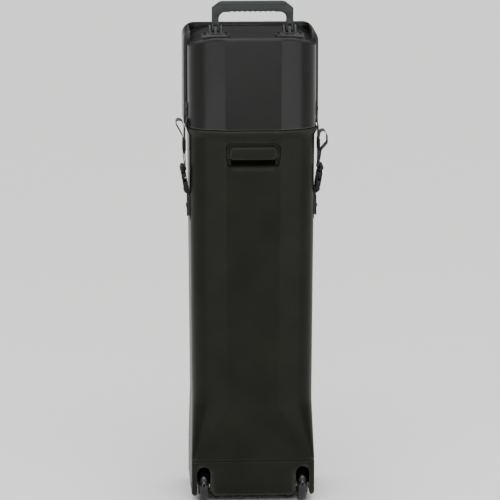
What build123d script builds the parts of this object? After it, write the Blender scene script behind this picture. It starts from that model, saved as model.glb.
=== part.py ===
from build123d import *
import os
from math import cos, radians, sin, tan

# Tall wheeled transport case, rotationally moulded in two shells: a deep body and a lid that
# telescopes over the body's neck. x runs across the case, -y is the rear with the wheels and the
# grab lip, +y is the flat front, and z is up from the floor. All sizes are in millimetres.

# ---- driving dimensions ----------------------------------------------------------------------
WALL = 5.0
BODY_HALF = 147.7            # body half width just under the shoulder
BODY_HALF_LOW = 143.2        # the same at the foot of the draft
BODY_REAR = -121.0
BODY_FRONT = 118.0
FACET_DEG = 17.65            # angle of the rear facets to the flat middle
FACET_RISE = 14.0
SIDE_R = 57.0                # rounding from facet to side
FRONT_R = 20.0
EDGE_R = 14.0                # soft corner between flat and facet

BASE_HALF = 146.7
BASE_FRONT = 126.0
BASE_R = 12.0
BASE_BOTTOM = 18.6
BASE_TOP = 103.5
FLARE_TOP = 240.0
SHOULDER_LOW = 883.0
SHOULDER_MID = 894.0
SHOULDER_TOP = 900.0
SHOULDER_OUT = 6.8
NECK_TOP = 1080.0
NECK_IN = 3.4                # neck face inside the body face
NECK_WALL = 4.6

LID_BOTTOM = 901.5
LID_OUT = 3.1                # lid face outside the body face
LID_FLOOR = 1118.0           # sunk deck that carries the handle
LID_RIM = 1126.5
CROWN_START = 75.0           # the deck is flat to here, then falls in a broad curve
CROWN_R = 150.0
SLAB_HALF = 159.3            # square front part of the lid
SLAB_REAR = -16.0
SLAB_FRONT = 128.0
SLAB_CORNER_R = 29.0
SLAB_EDGE_R = 9.0
RIM_WIDTH = 15.5

WHEEL_R = 38.0
WHEEL_WIDTH = 24.0
WHEEL_X = 118.0
WHEEL_Y = -90.0
WELL_WIDTH = 32.0
WELL_TOP = 90.0
WELL_FRONT = -46.0
AXLE_R = 4.0
INNER_RING_R = 6.1
OUTER_RING_BORE_R = 9.4
BEARING_R = 11.0
BEARING_W = 7.0
BALL_R = 1.6

FOOT_X = 105.0
FOOT_Y = 88.0
FOOT_R = 20.0

HANDLE_HALF = 95.0
HANDLE_LEG = 16.0
HANDLE_TOP = 1199.0
HANDLE_UNDER = 1175.5
HANDLE_Y = -80.0
BRACKET_X = 86.5
BRACKET_SIZE = (66.0, 48.0)
BRACKET_PLATE = 5.0
PIN_R = 3.0
PIN_Z = 1134.5
LUG = 6.5
PRONG = 4.7
FORK_GAP = 0.3
EAR = 4.6
EAR_GAP = 22.0               # between the two ears

STRAP_Y = -37.0
WEB_WIDTH = 38.0
WEB = 1.8
RIVET_R = 2.4
HOLE_R = 2.5
PLATE = 2.0
BUCKLE_FOOT = (153.8, 745.0)  # lower end of the buckle's centre line, x and z
BUCKLE_TILT = 9.66
BUCKLE_WIDTH = 50.0
SOCKET_LENGTH = 47.0
SOCKET_GAP = 0.6
TONGUE_LENGTH = 63.0


# ---- shared outlines -------------------------------------------------------------------------
def outline(grow=0.0, half=BODY_HALF, front=BODY_FRONT, facet=FACET_DEG, rise=FACET_RISE,
            side_r=SIDE_R, front_r=FRONT_R, edge_r=EDGE_R):
    """Plan face: flat middle, facets and big round corners at the rear, square front."""
    f = radians(facet)
    rear = BODY_REAR - grow
    cx, cy = half - side_r, BODY_REAR + rise + side_r * cos(f)
    r = side_r + grow
    facet_end = (cx + r * sin(f), cy - r * cos(f))
    corner_x = facet_end[0] - (facet_end[1] - rear) / tan(f)
    t = edge_r * tan(f / 2)
    a = (corner_x - t, rear)
    ab = (a[0] + edge_r * sin(f / 2), rear + edge_r * (1 - cos(f / 2)))
    b = (corner_x + t * cos(f), rear + t * sin(f))
    mid = radians((facet - 90) / 2)
    side_mid = (cx + r * cos(mid), cy + r * sin(mid))
    side_end = (half + grow, cy)
    fr = front_r + grow
    fx, fy = half - front_r, front - front_r
    c = (half + grow, fy)
    cd = (fx + fr * cos(radians(45)), fy + fr * sin(radians(45)))
    d = (fx, front + grow)

    def m(p):
        return (-p[0], p[1])

    edges = [
        Line(m(a), a),
        ThreePointArc(a, ab, b),
        Line(b, facet_end),
        ThreePointArc(facet_end, side_mid, side_end),
        Line(side_end, c),
        ThreePointArc(c, cd, d),
        Line(d, m(d)),
        ThreePointArc(m(d), m(cd), m(c)),
        Line(m(c), m(side_end)),
        ThreePointArc(m(side_end), m(side_mid), m(facet_end)),
        Line(m(facet_end), m(b)),
        ThreePointArc(m(b), m(ab), m(a)),
    ]
    return make_face(edges)


def base_outline(grow=0.0):
    """Plan face of the square base, in the same number of edges as the body's outline."""
    return outline(grow, half=BASE_HALF, front=BASE_FRONT, facet=1.0, rise=0.2,
                   side_r=BASE_R, front_r=BASE_R, edge_r=300.0)


def low_outline(grow=0.0):
    """Plan face of the body at the foot of its draft."""
    return outline(grow, half=BODY_HALF_LOW)


def at(face, z):
    return Pos(0, 0, z) * face


def box(x, y, z):
    """Box from its (low, high) pairs."""
    size = [hi - lo for lo, hi in (x, y, z)]
    centre = [(hi + lo) / 2 for lo, hi in (x, y, z)]
    return Pos(*centre) * Box(*size)


def bar_x(r, x, y, z):
    """Round bar along x, between the two values of x."""
    return Pos((x[0] + x[1]) / 2, y, z) * Rot(0, 90, 0) * Cylinder(r, x[1] - x[0])


def bar_y(r, x, y, z):
    return Pos(x, (y[0] + y[1]) / 2, z) * Rot(90, 0, 0) * Cylinder(r, y[1] - y[0])


def ring_x(r_out, r_in, x, y, z):
    return bar_x(r_out, x, y, z) - bar_x(r_in, (x[0] - 1, x[1] + 1), y, z)


def plate_xz(points, y):
    """Prism of an outline in x and z, between the two values of y."""
    face = make_face(Polyline(*[(px, pz) for px, pz in points], close=True))
    flat = Plane(origin=(0, y[1], 0), x_dir=(1, 0, 0), z_dir=(0, -1, 0))
    return extrude(flat * face, y[1] - y[0])


def sided(shape, side):
    """The right hand shape as it is, or its mirror for the left hand."""
    return shape if side > 0 else mirror(shape, about=Plane.YZ)


# ---- body shell ------------------------------------------------------------------------------
GRAB_HALF = 64.0
GRAB_LOW, GRAB_HIGH = 815.0, 870.0
GRAB_LIP = (55.0, 832.0, 861.0)   # half width, lower and upper edge
GRAB_DEEP = -93.0
GRAB_GROOVE = -115.0


def grab_recess():
    """All that is cut away for the grab lip: the groove round it, the finger ramp, the space behind."""
    half, low, high = GRAB_LIP
    groove = box((-GRAB_HALF, GRAB_HALF), (-140, GRAB_GROOVE), (low - 10, GRAB_HIGH))
    groove = fillet(groove.edges().filter_by(Axis.Y), 14)
    ramp_face = make_face(Polyline(
        (-140, GRAB_LOW - 13), (BODY_REAR, GRAB_LOW - 4), (GRAB_DEEP, GRAB_LOW + 9.3), (GRAB_DEEP, high - 5),
        (-112, high - 5), (-112, low), (-140, low), close=True))
    ramp = extrude(Plane.YZ * ramp_face, half - 3, both=True)
    return groove + ramp


def grab_lip():
    half, low, high = GRAB_LIP
    lip = box((-half, half), (BODY_REAR - 1.5, -112.0), (low, high))
    lip = fillet(lip.edges().filter_by(Axis.Y).group_by(Axis.Z)[-1], 10)
    lip = fillet(lip.edges().filter_by(Axis.Y).group_by(Axis.Z)[0], 8)
    return fillet(lip.edges().group_by(Axis.Y)[0], 2.5)


def wheel_well():
    """Arched slot for the right wheel, open at the rear and below, with its bevelled lower corners."""
    low, high = WHEEL_X - WELL_WIDTH / 2, WHEEL_X + WELL_WIDTH / 2
    y = (-140, WELL_FRONT)
    arch_z = WELL_TOP - WELL_WIDTH / 2
    well = box((low, high), y, (0, arch_z)) + bar_y(WELL_WIDTH / 2, WHEEL_X, y, arch_z)
    inner = plate_xz([(low - 10.7, BASE_BOTTOM - 1), (low + 1, BASE_BOTTOM - 1),
                      (low + 1, BASE_BOTTOM + 16.5)], y)
    outer = plate_xz([(high - 1, BASE_BOTTOM - 1), (high + 4, BASE_BOTTOM - 1),
                      (high - 1, BASE_BOTTOM + 8)], y)
    return well + inner + outer


def body_shell():
    base = extrude(at(base_outline(), BASE_BOTTOM), BASE_TOP - BASE_BOTTOM)
    base = fillet(base.edges().group_by(Axis.Z)[0], 6)
    flare = loft([at(base_outline(), BASE_TOP), at(low_outline(), FLARE_TOP)], ruled=True)
    wall = loft([at(low_outline(), FLARE_TOP), at(outline(), SHOULDER_LOW)], ruled=True)
    shoulder = loft([at(outline(), SHOULDER_LOW), at(outline(SHOULDER_OUT), SHOULDER_MID)], ruled=True)
    bead = extrude(at(outline(SHOULDER_OUT), SHOULDER_MID), SHOULDER_TOP - SHOULDER_MID)
    bead = fillet(bead.edges().group_by(Axis.Z)[-1], 2.5)
    neck = extrude(at(outline(-NECK_IN), SHOULDER_MID), NECK_TOP - SHOULDER_MID)
    shell = base + flare + wall + shoulder + bead + neck

    groove = extrude(at(base_outline(2) - base_outline(-1.6), BASE_TOP - 1.2), 2.4)
    shell -= groove

    # raised vertical ribs down the flat front, and flat pads for the lower strap plates
    for x in (-84, 0, 84):
        rib = box((x - 19, x + 19), (BODY_FRONT - 2, BODY_FRONT + 3), (270, 850))
        rib = fillet(rib.edges().filter_by(Axis.Y), 14)
        shell += fillet(rib.edges().group_by(Axis.Y)[-1], 2)
    for side in (-1, 1):
        pad = box((BODY_HALF - 3, BODY_HALF - 0.4), (STRAP_Y - 23, STRAP_Y + 23), (678, 742))
        shell += sided(pad, side)

    # inside: an upper hollow, and a lower one that goes round the wheel wells
    inner = loft([at(base_outline(-WALL), BASE_TOP - 4), at(low_outline(-WALL), FLARE_TOP)], ruled=True)
    inner += loft([at(low_outline(-WALL), FLARE_TOP), at(outline(-WALL), SHOULDER_LOW)], ruled=True)
    inner += extrude(at(outline(-NECK_IN - NECK_WALL), SHOULDER_LOW), NECK_TOP - SHOULDER_LOW + 1)
    lower = box((-76, 76), (BODY_REAR + WALL, BASE_FRONT - WALL), (BASE_BOTTOM + WALL, BASE_TOP))
    lower += box((-BASE_HALF + WALL, BASE_HALF - WALL), (WELL_FRONT + WALL, BASE_FRONT - WALL),
                 (BASE_BOTTOM + WALL, BASE_TOP))
    lower = fillet(lower.edges().filter_by(Axis.Z), 6)
    inner += lower
    half, low, high = GRAB_LIP
    inner -= box((-GRAB_HALF - WALL, GRAB_HALF + WALL), (-125, GRAB_GROOVE + WALL),
                 (GRAB_LOW - WALL, GRAB_HIGH + WALL))
    inner -= box((-half - 2, half + 2), (-125, GRAB_DEEP + WALL), (GRAB_LOW - 9, high))
    shell -= inner
    shell -= grab_recess()
    shell += grab_lip()

    for side in (-1, 1):
        boss = Pos(side * FOOT_X, FOOT_Y, BASE_BOTTOM + WALL) * Cylinder(
            9, 16, align=(Align.CENTER, Align.CENTER, Align.MIN))
        shell += boss
        cuts = wheel_well() + wheel_fixing_holes()
        shell -= sided(cuts, side)
        shell -= Pos(side * FOOT_X, FOOT_Y, BASE_BOTTOM + 9) * Cylinder(2.5, 24)
        shell -= strap_holes(side, 710.0, (BODY_HALF - 12, BODY_HALF + 6))
    return shell


def wheel_fixing_holes():
    """Axle hole through the outer leg with its counterbore, and the pocket for the threaded insert."""
    leg_in = WHEEL_X + WELL_WIDTH / 2
    well_in = WHEEL_X - WELL_WIDTH / 2
    holes = bar_x(AXLE_R + 0.15, (leg_in - 1, BASE_HALF + 1), WHEEL_Y, WHEEL_R)
    holes += bar_x(9.0, (BASE_HALF - 6.5, BASE_HALF + 1), WHEEL_Y, WHEEL_R)
    holes += bar_x(7.0, (well_in - 20, well_in + 1), WHEEL_Y, WHEEL_R)
    return holes


# ---- lid shell -------------------------------------------------------------------------------
def crowned(half, sink, low):
    """Block under the lid's crowned deck, lowered by sink, through the whole depth of the lid."""
    top = LID_FLOOR - sink
    points = []
    for share in (1, 0.5):
        x = CROWN_START + (half - CROWN_START) * share
        points.append((x, top - CROWN_R + (CROWN_R ** 2 - (x - CROWN_START) ** 2) ** 0.5))
    end, mid, flat = points[0], points[1], (CROWN_START, top)
    edges = [Line((half, low), end), ThreePointArc(end, mid, flat), Line(flat, (-CROWN_START, top)),
             ThreePointArc((-CROWN_START, top), (-mid[0], mid[1]), (-end[0], end[1])),
             Line((-end[0], end[1]), (-half, low)), Line((-half, low), (half, low))]
    rear_view = Plane(origin=(0, SLAB_FRONT + 5, 0), x_dir=(1, 0, 0), z_dir=(0, -1, 0))
    return extrude(rear_view * make_face(edges), 300)


def lid_shell():
    tall = LID_FLOOR - LID_BOTTOM
    half = BODY_HALF + LID_OUT
    bay = extrude(at(outline(LID_OUT), LID_BOTTOM), tall) & crowned(half + 5, 0, LID_BOTTOM)

    slab_face = RectangleRounded(2 * SLAB_HALF, 2 * (LID_RIM - LID_BOTTOM), SLAB_CORNER_R)
    slab_plane = Plane(origin=(0, SLAB_FRONT, LID_BOTTOM), x_dir=(1, 0, 0), z_dir=(0, -1, 0))
    slab = extrude(slab_plane * slab_face, SLAB_FRONT - SLAB_REAR)
    slab = split(slab, Plane.XY.offset(LID_BOTTOM), keep=Keep.TOP)
    for y_group, r in ((-1, SLAB_EDGE_R), (0, 4.0)):
        face = slab.faces().sort_by(Axis.Y)[y_group]
        slab = fillet(face.edges().filter_by(lambda e: e.center().Z > LID_BOTTOM + 1), r)

    deck_y = (SLAB_REAR - 60, SLAB_FRONT - RIM_WIDTH)
    deck = box((-SLAB_HALF + RIM_WIDTH, SLAB_HALF - RIM_WIDTH), deck_y, (LID_FLOOR - 25, LID_RIM + 20))
    deck = fillet(deck.edges().filter_by(Axis.Z).group_by(Axis.Y)[-1], 18)
    shell = bay + (slab - (deck - crowned(SLAB_HALF, 0, LID_BOTTOM)))

    # flat seats for the handle brackets
    for side in (-1, 1):
        w, d = BRACKET_SIZE
        x = side * BRACKET_X
        shell += box((x - w / 2 - 1, x + w / 2 + 1), (HANDLE_Y - d / 2 + 5, HANDLE_Y + d / 2 + 2),
                     (LID_FLOOR - 12, LID_FLOOR))

    # hollow: follows both parts, and narrows to a collar at the mouth that guides the neck
    ceiling = LID_FLOOR - WALL
    prism = extrude(at(outline(LID_OUT - WALL), LID_BOTTOM - 1), ceiling - LID_BOTTOM + 1)
    room = prism & crowned(half + 5, WALL, LID_BOTTOM - 2)
    wide = box((-SLAB_HALF + WALL, SLAB_HALF - WALL), (SLAB_REAR + WALL, SLAB_FRONT - WALL),
               (LID_BOTTOM + 14, ceiling - 22))
    shell -= room + wide

    # shallow label panel in the front face
    label = box((-62, 62), (SLAB_FRONT - 1.5, SLAB_FRONT + 5), (985, 1050))
    shell -= fillet(label.edges().filter_by(Axis.Y), 6)

    for side in (-1, 1):
        x = side * BRACKET_X
        shell -= box((x - 31, x + 31), (HANDLE_Y - 21.5, HANDLE_Y + 21.5), (LID_FLOOR - 22, ceiling))
        shell -= strap_holes(side, UPPER_RIVET_Z, (half - 8, half + 3))
        for x, y in bracket_rivet_places(side):
            shell -= Pos(x, y, LID_FLOOR) * Cylinder(HOLE_R, 20)
    return shell


# ---- carry handle ----------------------------------------------------------------------------
def bracket_rivet_places(side):
    return [(side * BRACKET_X + dx, HANDLE_Y + dy) for dx in (-26, 26) for dy in (-17, 17)]


def handle_bracket(side):
    """Riveted plate with two ears and a middle lug, all bored for the pivot pin."""
    w, d = BRACKET_SIZE
    top = LID_FLOOR + BRACKET_PLATE
    plate = extrude(at(RectangleRounded(w, d, 7), LID_FLOOR), BRACKET_PLATE)
    plate = fillet(plate.edges().group_by(Axis.Z)[-1], 1.5)
    shape = plate

    def lug(x, thick, height):
        side_face = Rectangle(20, height - top + 1, align=(Align.CENTER, Align.MIN))
        web = extrude(Plane(origin=(x - thick / 2, 0, top - 1), x_dir=(0, 1, 0), z_dir=(1, 0, 0))
                      * side_face, thick)
        web = fillet(web.edges().filter_by(Axis.X).group_by(Axis.Z)[-1], 8)
        return web

    ear_x = EAR_GAP / 2 + EAR / 2
    shape += lug(0, LUG, PIN_Z + 8.5) + lug(-ear_x, EAR, PIN_Z + 9.5) + lug(ear_x, EAR, PIN_Z + 9.5)
    shape = Pos(side * BRACKET_X, HANDLE_Y, 0) * shape
    reach = EAR_GAP / 2 + EAR + 1
    shape -= bar_x(PIN_R + 0.02, (side * BRACKET_X - reach, side * BRACKET_X + reach), HANDLE_Y, PIN_Z)
    for x, y in bracket_rivet_places(side):
        shape -= Pos(x, y, LID_FLOOR) * Cylinder(HOLE_R, 20)
    return shape


def handle_pin(side):
    reach = EAR_GAP / 2 + EAR
    x = side * BRACKET_X
    pin = bar_x(PIN_R, (x - reach, x + reach), HANDLE_Y, PIN_Z)
    heads = [Pos(x + s * reach, HANDLE_Y, PIN_Z) * Rot(0, s * 90, 0) * dome(4.4, 1.2) for s in (-1, 1)]
    return pin + heads[0] + heads[1]


def handle():
    """Deep bow handle: chamfered shoulders, round inner corners, finger scallops, forked feet."""
    w, leg = HANDLE_HALF, HANDLE_LEG
    low = PIN_Z + 13.0
    under, top = HANDLE_UNDER, HANDLE_TOP
    inner_r = 16.0
    edges = Polyline((w, low), (w, top - 15.5), (w - 17, top - 2.2), (w - 24, top),
                     (24 - w, top), (17 - w, top - 2.2), (-w, top - 15.5), (-w, low),
                     (leg - w, low), (leg - w, under - inner_r))
    edges += RadiusArc((leg - w, under - inner_r), (leg - w + inner_r, under), inner_r)
    edges += Line((leg - w + inner_r, under), (w - leg - inner_r, under))
    edges += RadiusArc((w - leg - inner_r, under), (w - leg, under - inner_r), inner_r)
    edges += Polyline((w - leg, under - inner_r), (w - leg, low), (w, low))
    grip = extrude(Plane(origin=(0, HANDLE_Y, 0), x_dir=(1, 0, 0), z_dir=(0, -1, 0)) * make_face(edges),
                   14, both=True)
    side_face = make_face(Polyline(
        (-9, low - 1), (9, low - 1), (9, under - 14), (14, under - 1), (14, top - 4), (11, top + 1),
        (-11, top + 1), (-14, top - 4), (-14, under - 1), (-9, under - 14), close=True))
    grip &= extrude(Plane(origin=(0, HANDLE_Y, 0), x_dir=(0, 1, 0), z_dir=(1, 0, 0)) * side_face,
                    w + 5, both=True)
    long_edges = grip.edges().filter_by(lambda e: e.center().Z > under - inner_r - 1 and e.length > 3
                                        and abs(e.center().Y - HANDLE_Y) > 8)
    grip = safe_fillet(grip, long_edges, (3.0, 2.0, 1.2))
    pitch, count = 12.0, 9
    for i in range(count):
        x = (i - (count - 1) / 2) * pitch
        grip -= bar_y(11.0, x, (HANDLE_Y - 20, HANDLE_Y + 20), under - 11.0 + 1.5)
    for side in (-1, 1):
        x = side * BRACKET_X
        for s in (-1, 1):
            near = x + s * (LUG / 2 + FORK_GAP)
            far = near + s * PRONG
            span = (min(near, far), max(near, far))
            prong = bar_x(8.0, span, HANDLE_Y, PIN_Z)
            prong += box(span, (HANDLE_Y - 8, HANDLE_Y + 8), (PIN_Z, low + 1))
            grip += prong
        grip -= bar_x(PIN_R + 0.06, (x - 15, x + 15), HANDLE_Y, PIN_Z)
    return grip


def safe_fillet(shape, edges, radii):
    """Fillets with the first radius that holds."""
    for r in radii:
        try:
            done = fillet(edges, r)
            if done.is_valid:
                return done
        except ValueError:
            continue
    return shape


def bracket_rivets(side):
    """Four rivets with domed heads above the plate and set tails under the backing plate."""
    top = LID_FLOOR + BRACKET_PLATE
    low = LID_FLOOR - WALL - PLATE
    group = []
    for x, y in bracket_rivet_places(side):
        head = Pos(x, y, top) * dome(4.8, 2.2)
        shank = Pos(x, y, low) * Cylinder(RIVET_R, top - low, align=(Align.CENTER, Align.CENTER, Align.MIN))
        tail = Pos(x, y, low) * Rot(180, 0, 0) * dome(3.6, 2.0)
        group.append(head + shank + tail)
    return Compound(children=group)


def dome(r, height):
    """Low domed rivet head that stands on z = 0."""
    disc = Cylinder(r, height, align=(Align.CENTER, Align.CENTER, Align.MIN))
    return fillet(disc.edges().group_by(Axis.Z)[-1], height * 0.8)


def backing_plate(side):
    z = LID_FLOOR - WALL - PLATE
    plate = extrude(at(Pos(side * BRACKET_X, HANDLE_Y) * RectangleRounded(60, 42, 5), z), PLATE)
    for x, y in bracket_rivet_places(side):
        plate -= Pos(x, y, z) * Cylinder(HOLE_R, 20)
    return plate


# ---- wheels ----------------------------------------------------------------------------------
def wheel_tyre(side):
    """Skate-type tyre: bullet profile outside, cast round the hub's rim inside."""
    h = WHEEL_WIDTH / 2
    outline_edges = Polyline((-h + 1.5, 24.0), (-h, 26.0), (-h, 29.5))
    outline_edges += ThreePointArc((-h, 29.5), (-7.6, 35.6), (0, WHEEL_R))
    outline_edges += ThreePointArc((0, WHEEL_R), (7.6, 35.6), (h, 29.5))
    outline_edges += Polyline((h, 29.5), (h, 26.0), (h - 1.5, 24.0), (-h + 1.5, 24.0))
    ring = revolve(Plane.XZ * make_face(outline_edges), axis=Axis.X)
    return Pos(side * WHEEL_X, WHEEL_Y, WHEEL_R) * ring


def wheel_hub(side):
    """Moulded core with a rim, five spokes and a barrel that seats both bearings."""
    h = WHEEL_WIDTH / 2
    rim = ring_x(24.0, 20.5, (-h + 1.5, h - 1.5), 0, 0)
    barrel = ring_x(14.0, BEARING_R, (-h, h), 0, 0)
    stop = ring_x(12.0, 9.8, (-h + BEARING_W, h - BEARING_W), 0, 0)
    core = rim + barrel + stop
    for i in range(5):
        spoke = box((-6, 6), (-2.6, 2.6), (12.5, 21.5))
        core += Rot(72 * i, 0, 0) * spoke
    return Pos(side * WHEEL_X, WHEEL_Y, WHEEL_R) * core


def both_bearings(make, side):
    h = WHEEL_WIDTH / 2
    offset = h - BEARING_W / 2
    parts = [Pos(side * WHEEL_X + s * offset, WHEEL_Y, WHEEL_R) * make() for s in (-1, 1)]
    return Compound(children=parts)


def outer_ring():
    w = BEARING_W / 2
    ring = ring_x(BEARING_R, OUTER_RING_BORE_R, (-w, w), 0, 0)
    return ring - Rot(0, 90, 0) * Torus(7.75, BALL_R + 0.12)


def inner_ring():
    w = BEARING_W / 2
    ring = ring_x(INNER_RING_R, AXLE_R + 0.03, (-w, w), 0, 0)
    return ring - Rot(0, 90, 0) * Torus(7.75, BALL_R + 0.12)


def bearing_balls(side):
    h = WHEEL_WIDTH / 2
    offset = h - BEARING_W / 2
    balls = []
    for s in (-1, 1):
        for i in range(7):
            a = radians(360 / 7 * i)
            balls.append(Pos(side * WHEEL_X + s * offset, WHEEL_Y + 7.75 * cos(a),
                             WHEEL_R + 7.75 * sin(a)) * Sphere(BALL_R))
    return Compound(children=balls)


def bearing_sleeve(side):
    h = WHEEL_WIDTH / 2 - BEARING_W
    return Pos(side * WHEEL_X, 0, 0) * ring_x(5.6, AXLE_R + 0.03, (-h, h), WHEEL_Y, WHEEL_R)


def axle_spacers(side):
    inner, outer = WHEEL_WIDTH / 2, WELL_WIDTH / 2
    parts = [Pos(side * WHEEL_X, 0, 0) * ring_x(6.0, AXLE_R + 0.03, (min(s * inner, s * outer),
             max(s * inner, s * outer)), WHEEL_Y, WHEEL_R) for s in (-1, 1)]
    return Compound(children=parts)


def axle_bolt(side):
    """Button-head bolt sunk in the outer leg, with a hex socket, threaded into the insert."""
    head_in = BASE_HALF - 6.5
    tip = WHEEL_X - WELL_WIDTH / 2 - 16
    bolt = bar_x(AXLE_R, (tip, head_in), WHEEL_Y, WHEEL_R)
    head = bar_x(7.5, (head_in, head_in + 4.6), WHEEL_Y, WHEEL_R)
    head = fillet(head.edges().group_by(Axis.X)[-1], 2.5)
    socket = extrude(Plane(origin=(head_in + 1.6, WHEEL_Y, WHEEL_R), x_dir=(0, 1, 0), z_dir=(1, 0, 0))
                     * RegularPolygon(2.9, 6), 5)
    return sided(bolt + head - socket, side)


def axle_insert(side):
    """Flanged brass bush moulded into the middle of the base."""
    end = WHEEL_X - WELL_WIDTH / 2
    bush = ring_x(7.0, AXLE_R + 0.02, (end - 20, end), WHEEL_Y, WHEEL_R)
    for x in (end - 6, end - 13):
        bush -= ring_x(8.0, 6.3, (x - 1, x + 1), WHEEL_Y, WHEEL_R)
    return sided(bush, side)


# ---- feet ------------------------------------------------------------------------------------
def foot(side):
    """Tapered rubber foot with a well for its screw head."""
    cone = Cone(FOOT_R - 3, FOOT_R, BASE_BOTTOM, align=(Align.CENTER, Align.CENTER, Align.MIN))
    cone = fillet(cone.edges().group_by(Axis.Z)[0], 2)
    cone -= Pos(0, 0, -1) * Cylinder(6.5, 10, align=(Align.CENTER, Align.CENTER, Align.MIN))
    cone -= Cylinder(2.6, 60)
    return Pos(side * FOOT_X, FOOT_Y, 0) * cone


def foot_screw(side):
    head = Pos(0, 0, 9) * Rot(180, 0, 0) * dome(5.6, 3.4)
    cross = Box(6.4, 1.3, 3) + Box(1.3, 6.4, 3)
    shank = Pos(0, 0, 9) * Cylinder(2.45, 26, align=(Align.CENTER, Align.CENTER, Align.MIN))
    return Pos(side * FOOT_X, FOOT_Y, 0) * (head + shank - Pos(0, 0, 5.6) * cross)


# ---- side straps -----------------------------------------------------------------------------
UPPER_RIVET_Z = 941.0
LOWER_RIVET_Z = 710.0
RIVET_DY = 11.0
PAD_X = BODY_HALF - 0.4
LID_SIDE = BODY_HALF + LID_OUT
MAIN_X = 157.2               # run of the strap between keeper and shoulder
END_X = 159.3                # tucked end of the tail
LOOP_X = 179.5 - WEB / 2     # furthest reach of both tail loops
KEEPER_Z = (842.0, 868.0)
KEEPER_WALL = 1.0


def strap_holes(side, z, x):
    holes = [bar_x(HOLE_R, x, STRAP_Y + dy, z) for dy in (-RIVET_DY, RIVET_DY)]
    return sided(holes[0] + holes[1], side)


def ribbon(points, radii):
    """Flat webbing on edge: its centre line in x and z, rounded at each corner."""
    line = FilletPolyline(*points, radius=radii)
    edges, rims = [], []
    for d in (-WEB / 2, WEB / 2):
        rim = []
        for e in line.edges():
            spots = [e @ t + Vector(-(e % t).Y, (e % t).X) * d for t in (0, 0.5, 1)]
            straight = e.geom_type == GeomType.LINE
            rim.append(Line(spots[0], spots[2]) if straight else ThreePointArc(*spots))
        edges += rim
        rims.append(rim)
    edges += [Line(rims[0][0] @ 0, rims[1][0] @ 0), Line(rims[0][-1] @ 1, rims[1][-1] @ 1)]
    flat = Plane(origin=(0, STRAP_Y, 0), x_dir=(1, 0, 0), z_dir=(0, -1, 0))
    return extrude(flat * make_face(edges), WEB_WIDTH / 2, both=True)


def local_to_case(n, s):
    """Point given across and along the buckle, as x and z of the case."""
    t = radians(BUCKLE_TILT)
    return (BUCKLE_FOOT[0] + s * sin(t) + n * cos(t), BUCKLE_FOOT[1] + s * cos(t) - n * sin(t))


def buckle_place(shape):
    """From the buckle's own frame (x out, y across, z up its length) to the right side of the case."""
    return Pos(BUCKLE_FOOT[0], STRAP_Y, BUCKLE_FOOT[1]) * Rot(0, BUCKLE_TILT, 0) * shape


def buckle_socket(side):
    """Female half: flat sleeve with side windows, and a slotted foot for the lower webbing."""
    w = BUCKLE_WIDTH / 2
    shape = make_face(Polyline((-3.5, 0), (-6, 14), (-6, SOCKET_LENGTH), (6, SOCKET_LENGTH),
                               (6, 14), (3.5, 0), close=True))
    body = extrude(Plane.XZ * shape, w, both=True)
    body = fillet(body.edges().filter_by(Axis.X), 6)
    body = safe_fillet(body, body.edges().filter_by(
        lambda e: abs(e.center().X) > 3 and 2 < e.center().Z < SOCKET_LENGTH - 1), (1.6, 1.0))
    body -= box((-4.2, 4.2), (-21.6, 21.6), (19, SOCKET_LENGTH + 1))
    for s in (-1, 1):
        window = box((-3.4, 3.4), (min(s * 20, s * 30), max(s * 20, s * 30)), (25, 37))
        body -= fillet(window.edges().filter_by(Axis.Y), 2)
    body -= fillet(box((-9, 9), (-20, 20), (5, 10.4)).edges().filter_by(Axis.X), 2)
    return sided(buckle_place(body), side)


def buckle_tongue(side):
    """Male half: slotted head with two webbing bars, a middle guide and two side arms."""
    head_low = SOCKET_LENGTH + SOCKET_GAP
    w = BUCKLE_WIDTH / 2
    head = box((-4.6, 4.6), (-w, w), (head_low, TONGUE_LENGTH))
    head = fillet(head.edges().filter_by(Axis.Y), 2.2)
    head = fillet(head.edges().filter_by(Axis.X), 3)
    for low, high in ((50.4, 53.4), (57.2, 60.2)):
        head -= box((-9, 9), (-20, 20), (low, high))
    # side view of the prongs: outer face along the socket, inner face upright so that the
    # tongue also leaves the socket when the lid is lifted straight up
    tip = 24.0
    lean = tan(radians(BUCKLE_TILT))
    wedge = make_face(Polyline((-3.9, head_low + 1), (4.0, head_low + 1), (4.0, tip),
                               (-3.9 + (head_low - tip) * lean, tip),
                               (-3.9, head_low), close=True))
    prongs = extrude(Plane.XZ * wedge, w, both=True)
    front = box((-9, 9), (-3.5, 3.5), (28, head_low + 2))
    for s in (-1, 1):
        arm = make_face(Polyline((s * 13, head_low + 2), (s * 18, head_low + 2), (s * 18, 38),
                                 (s * 21.2, 36), (s * 21.2, 30), (s * 15, tip), (s * 12, tip),
                                 (s * 13.5, 34), close=True))
        front += extrude(Plane(origin=(-9, 0, 0), x_dir=(0, 1, 0), z_dir=(1, 0, 0)) * arm, 18)
    return sided(buckle_place(head + (prongs & front)), side)


def strap_plate(side, z, x):
    """Pressed steel plate that clamps the webbing to the wall, x being its inner face."""
    plate = box((x, x + PLATE), (STRAP_Y - 19, STRAP_Y + 19), z)
    plate = fillet(plate.edges().filter_by(Axis.X), 4)
    plate = fillet(plate.edges().group_by(Axis.X)[-1], 0.7)
    return sided(plate, side) - strap_holes(side, (z[0] + z[1]) / 2, (x - 5, x + 8))


def strap_rivets(side, z, wall_in, plate_out):
    """Two rivets through plate, webbing and wall, with tails set inside the shell."""
    group = []
    for dy in (-RIVET_DY, RIVET_DY):
        head = Pos(plate_out, STRAP_Y + dy, z) * Rot(0, 90, 0) * dome(4.6, 2.0)
        tail = Pos(wall_in, STRAP_Y + dy, z) * Rot(0, -90, 0) * dome(4.4, 0.9)
        shank = bar_x(RIVET_R, (wall_in, plate_out), STRAP_Y + dy, z)
        group.append(sided(head + tail + shank, side))
    return Compound(children=group)


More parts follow.
